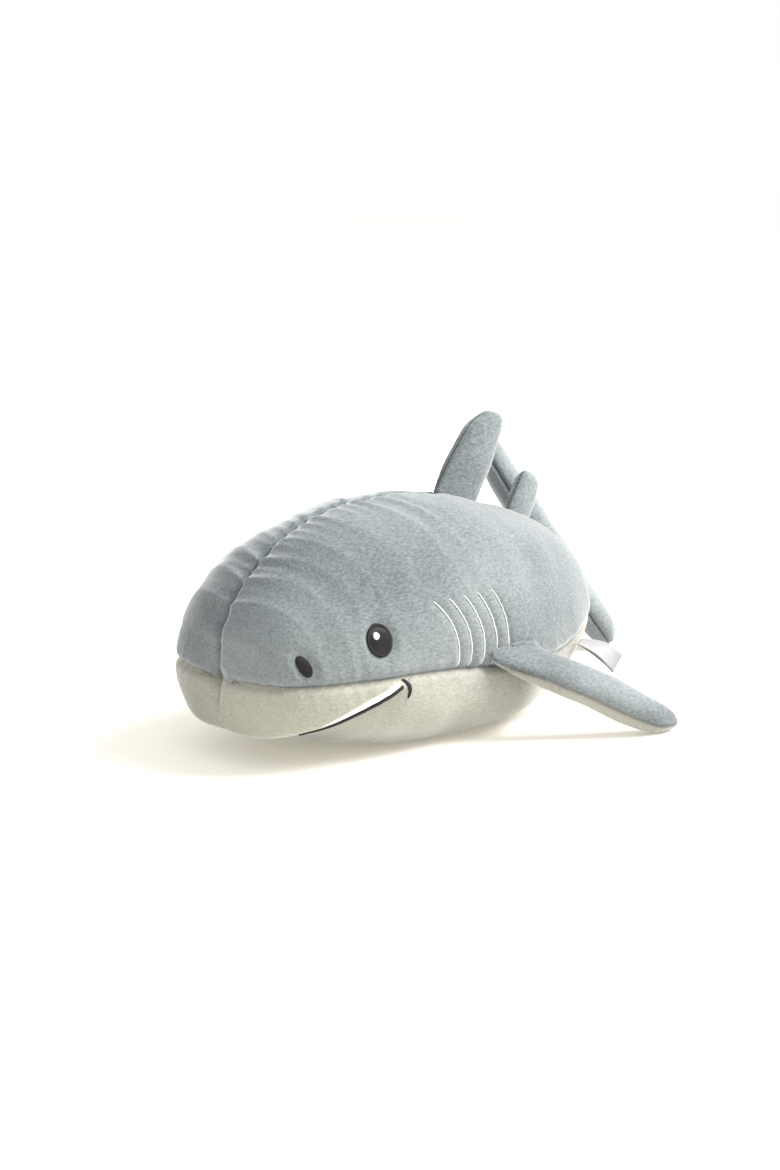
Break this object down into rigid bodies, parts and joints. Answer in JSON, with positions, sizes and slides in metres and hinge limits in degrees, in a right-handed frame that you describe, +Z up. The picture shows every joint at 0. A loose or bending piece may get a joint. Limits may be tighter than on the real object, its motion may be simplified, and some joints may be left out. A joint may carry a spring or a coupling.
{
  "type": "plush shark",
  "caption": "Stuffed plush shark lying on its belly: grey back, cream belly and snout, stuffed fins and tail, embroidered eyes, nostrils, mouth and gill lines.",
  "frame": {"origin": "middle of the flat belly patch, on the floor that the shark lies on", "axes": "+Z up, nose toward -Y and tail toward +Y, the shark's own left side toward +X"},
  "size_m": [0.264, 0.3574, 0.1679],
  "materials": {
    "grey_plush": "short blue-grey plush pile, matt with a soft sheen",
    "cream_plush": "short cream plush pile, matt with a soft sheen",
    "stuffing": "loose white polyester fibre",
    "black_thread": "satin-stitched black embroidery thread",
    "white_thread": "white embroidery thread",
    "satin": "plain white woven satin ribbon"
  },
  "bodies": {
    "body": {"back_panel_left": "grey_plush", "back_panel_right": "grey_plush", "snout_panel_left": "cream_plush", "snout_panel_right": "cream_plush", "belly_panel": "cream_plush", "body_fill": "stuffing", "eye_left": "black_thread", "eye_right": "black_thread", "eye_glint_left": "white_thread", "eye_glint_right": "white_thread", "nostril_left": "black_thread", "nostril_right": "black_thread", "mouth_line_left": "black_thread", "mouth_line_right": "black_thread", "mouth_corner_left": "black_thread", "mouth_corner_right": "black_thread", "gill_stitch_1_left": "white_thread", "gill_stitch_1_right": "white_thread", "gill_stitch_2_left": "white_thread", "gill_stitch_2_right": "white_thread", "gill_stitch_3_left": "white_thread", "gill_stitch_3_right": "white_thread", "gill_stitch_4_left": "white_thread", "gill_stitch_4_right": "white_thread", "gill_stitch_5_left": "white_thread", "gill_stitch_5_right": "white_thread"},
    "tail": {"tail_panel_left": "grey_plush", "tail_panel_right": "grey_plush", "tail_fill": "stuffing"},
    "fluke": {"fluke_panel_left": "grey_plush", "fluke_panel_right": "grey_plush", "fluke_fill": "stuffing"},
    "dorsal": {"dorsal_panel_left": "grey_plush", "dorsal_panel_right": "grey_plush", "dorsal_fill": "stuffing"},
    "rear_dorsal": {"rear_dorsal_panel_left": "grey_plush", "rear_dorsal_panel_right": "grey_plush", "rear_dorsal_fill": "stuffing"},
    "left_pectoral": {"left_pectoral_top": "grey_plush", "left_pectoral_underside": "cream_plush", "left_pectoral_fill": "stuffing"},
    "right_pectoral": {"right_pectoral_top": "grey_plush", "right_pectoral_underside": "cream_plush", "right_pectoral_fill": "stuffing"},
    "label": {"label": "satin"}
  },
  "joints": [
    {"name": "left_pectoral_flap", "type": "hinge", "parent": "body", "child": "left_pectoral", "pos_m": [0.08309, 0.00306, 0.04067], "axis": [0, -1, 0], "range_deg": [-20, 75], "stiffness_Nm_per_rad": 0.3},
    {"name": "right_pectoral_flap", "type": "hinge", "parent": "body", "child": "right_pectoral", "pos_m": [-0.08309, 0.00306, 0.04067], "axis": [0, 1, 0], "range_deg": [-20, 75], "stiffness_Nm_per_rad": 0.3},
    {"name": "dorsal_flop", "type": "hinge", "parent": "body", "child": "dorsal", "pos_m": [-0.00174, 0.03605, 0.12963], "axis": [-0.0928, 0.9603, -0.2631], "range_deg": [-60, 60], "stiffness_Nm_per_rad": 0.2},
    {"name": "rear_dorsal_flop", "type": "hinge", "parent": "body", "child": "rear_dorsal", "pos_m": [-0.01417, 0.10212, 0.10374], "axis": [-0.2488, 0.8791, -0.4065], "range_deg": [-60, 60], "stiffness_Nm_per_rad": 0.06},
    {"name": "tail_sway", "type": "hinge", "parent": "body", "child": "tail", "pos_m": [-0.025, 0.13463, 0.06267], "axis": [0, 0, 1], "range_deg": [-25, 25], "stiffness_Nm_per_rad": 0.8},
    {"name": "fluke_sway", "type": "hinge", "parent": "tail", "child": "fluke", "pos_m": [-0.03429, 0.15665, 0.06267], "axis": [-0.5211, -0.2396, 0.8192], "range_deg": [-35, 35], "stiffness_Nm_per_rad": 0.4},
    {"name": "label_flap", "type": "hinge", "parent": "body", "child": "label", "pos_m": [0.06292, 0.07211, 0.03913], "axis": [-0.4902, 0.8716, 0], "range_deg": [-60, 50], "stiffness_Nm_per_rad": 0.004}
  ]
}
